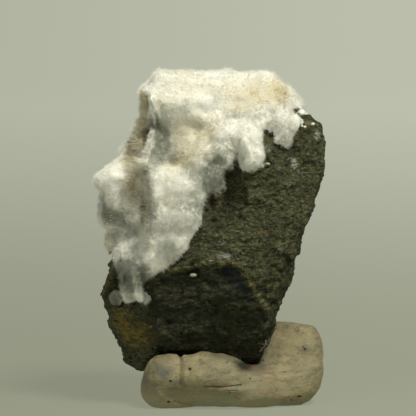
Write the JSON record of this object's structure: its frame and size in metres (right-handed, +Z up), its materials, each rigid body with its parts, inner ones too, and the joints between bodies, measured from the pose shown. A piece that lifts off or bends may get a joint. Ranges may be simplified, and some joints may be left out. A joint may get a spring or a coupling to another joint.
{
  "type": "okenite mineral specimen on a clay foot",
  "caption": "Chunk of dark basalt grown over at its upper left with white cottony okenite puffs, held upright by a lump of modelling clay.",
  "frame": {"origin": "middle of the clay lump's flat foot, on the surface that the specimen stands on", "axes": "+Z up, +X to the right seen from the side that shows most okenite, +Y away from that side"},
  "size_m": [0.0689, 0.0475, 0.1015],
  "materials": {
    "basalt": "rough broken rock, dull",
    "okenite": "felt of fine white crystal fibres",
    "clay": "matte modelling clay with finger dents"
  },
  "bodies": {
    "root": {"basalt_matrix": "basalt", "okenite_crust": "okenite", "okenite_pocket_puff": "okenite", "okenite_bead_front": "okenite", "okenite_bead_upper": "okenite", "clay_foot": "clay"}
  },
  "joints": []
}
